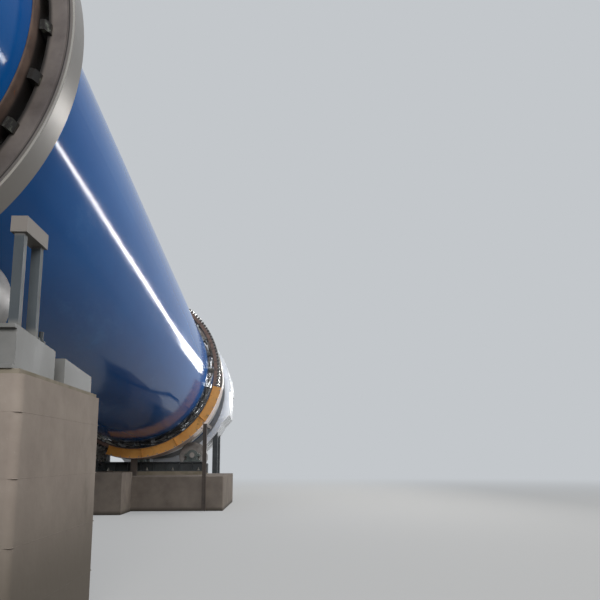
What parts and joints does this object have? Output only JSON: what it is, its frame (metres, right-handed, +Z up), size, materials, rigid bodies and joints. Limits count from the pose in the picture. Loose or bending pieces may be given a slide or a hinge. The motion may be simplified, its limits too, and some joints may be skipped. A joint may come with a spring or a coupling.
{
  "type": "rotary drum dryer",
  "caption": "Inclined rotary drum dryer for fruit pomace: a long drum turns in tyres on rollers on concrete piers, driven by a girth gear and pinion, with a hood at each end.",
  "frame": {"origin": "On the floor under the drum's axis, at the middle of the main plinth's base.", "axes": "+Z is up, +Y runs along the drum from the feed end to the discharge end, which is the lower one, and +X points across the drum, away from the drive."},
  "size_m": [3.8004, 22.5978, 5.6976],
  "materials": {
    "shell_blue": "glossy blue enamel",
    "tyre_steel": "machined steel with brown rust",
    "rusty_plate": "rusty plate, matt",
    "pad_steel": "grey-green primer, satin",
    "gear_steel": "cast steel, brown, greased teeth",
    "roller_steel": "cast steel with a bright tread",
    "guard_amber": "amber enamel",
    "steel_grey": "light grey paint, satin",
    "frame_dark": "dark grey paint, satin",
    "drive_green": "grey-green machine paint",
    "hood_silver": "glossy silver-grey paint",
    "concrete": "board-marked cast concrete",
    "grout": "smooth grout"
  },
  "bodies": {
    "base": {"near_pier": "concrete", "near_grout": "grout", "near_base_frame": "steel_grey", "near_guard_stand": "steel_grey", "near_roller_frame": "frame_dark", "near_bearings": "drive_green", "main_plinth": "concrete", "drive_plinth": "concrete", "far_grout": "grout", "far_roller_frame": "frame_dark", "far_bearings": "drive_green", "thrust_housings": "drive_green", "gear_guard": "guard_amber", "guard_supports": "frame_dark", "pinion_pedestal": "frame_dark", "pinion_bearings": "drive_green", "reducer": "drive_green", "input_coupling": "drive_green", "motor": "drive_green", "drive_base": "frame_dark", "coupling_covers": "guard_amber", "discharge_hood": "hood_silver", "discharge_seal": "steel_grey", "discharge_legs": "frame_dark", "feed_hood": "hood_silver", "feed_end_plate": "hood_silver", "feed_inner_plate": "hood_silver", "gas_neck": "hood_silver", "feed_chute": "steel_grey", "feed_seal": "steel_grey", "feed_legs": "frame_dark"},
    "drum": {"feed_dam": "rusty_plate", "shell_feed_section": "shell_blue", "shell_middle_section": "shell_blue", "shell_discharge_section": "shell_blue", "near_wrapper": "rusty_plate", "far_wrapper": "rusty_plate", "near_tyre": "tyre_steel", "far_tyre": "tyre_steel", "near_tyre_pads": "pad_steel", "far_tyre_pads": "pad_steel", "girth_gear": "gear_steel", "gear_spring_plates": "tyre_steel"},
    "near_left_roller": {"near_roller_left": "roller_steel"},
    "near_right_roller": {"near_roller_right": "roller_steel"},
    "far_left_roller": {"far_roller_left": "roller_steel"},
    "far_right_roller": {"far_roller_right": "roller_steel"},
    "pinion_shaft": {"pinion": "gear_steel", "pinion_coupling": "drive_green"},
    "uphill_thrust": {"thrust_roller_uphill": "roller_steel"},
    "downhill_thrust": {"thrust_roller_downhill": "roller_steel"}
  },
  "joints": [
    {"name": "drum_spin", "type": "hinge", "parent": "base", "child": "drum", "pos_m": [0, 0, 2.753], "axis": [0, 0.9978, -0.067], "continuous": true},
    {"name": "near_left_roller_spin", "type": "hinge", "parent": "base", "child": "near_left_roller", "pos_m": [-1.09217, -12.42493, 1.90141], "axis": [0, 0.9978, -0.067], "continuous": true},
    {"name": "near_right_roller_spin", "type": "hinge", "parent": "base", "child": "near_right_roller", "pos_m": [1.09217, -12.42493, 1.90141], "axis": [0, 0.9978, -0.067], "continuous": true},
    {"name": "far_left_roller_spin", "type": "hinge", "parent": "base", "child": "far_left_roller", "pos_m": [-1.09217, 0.54589, 1.03079], "axis": [0, 0.9978, -0.067], "continuous": true},
    {"name": "far_right_roller_spin", "type": "hinge", "parent": "base", "child": "far_right_roller", "pos_m": [1.09217, 0.54589, 1.03079], "axis": [0, 0.9978, -0.067], "continuous": true},
    {"name": "pinion_spin", "type": "hinge", "parent": "base", "child": "pinion_shaft", "pos_m": [-0.85893, -0.60427, 1.06693], "axis": [0, 0.9978, -0.067], "continuous": true},
    {"name": "uphill_thrust_spin", "type": "hinge", "parent": "base", "child": "uphill_thrust", "pos_m": [0, 0.27722, 1.13881], "axis": [0, -0.067, -0.9978], "continuous": true},
    {"name": "downhill_thrust_spin", "type": "hinge", "parent": "base", "child": "downhill_thrust", "pos_m": [0, 0.82658, 1.10194], "axis": [0, -0.067, -0.9978], "continuous": true}
  ],
  "couplings": [
    {"joint": "near_left_roller_spin", "follows": "drum_spin", "ratio": -5.6833},
    {"joint": "near_right_roller_spin", "follows": "drum_spin", "ratio": -5.6833},
    {"joint": "far_left_roller_spin", "follows": "drum_spin", "ratio": -5.6833},
    {"joint": "far_right_roller_spin", "follows": "drum_spin", "ratio": -5.6833},
    {"joint": "pinion_spin", "follows": "drum_spin", "ratio": -7.3333},
    {"joint": "uphill_thrust_spin", "follows": "drum_spin", "ratio": -11.22},
    {"joint": "downhill_thrust_spin", "follows": "drum_spin", "ratio": 11.22}
  ]
}
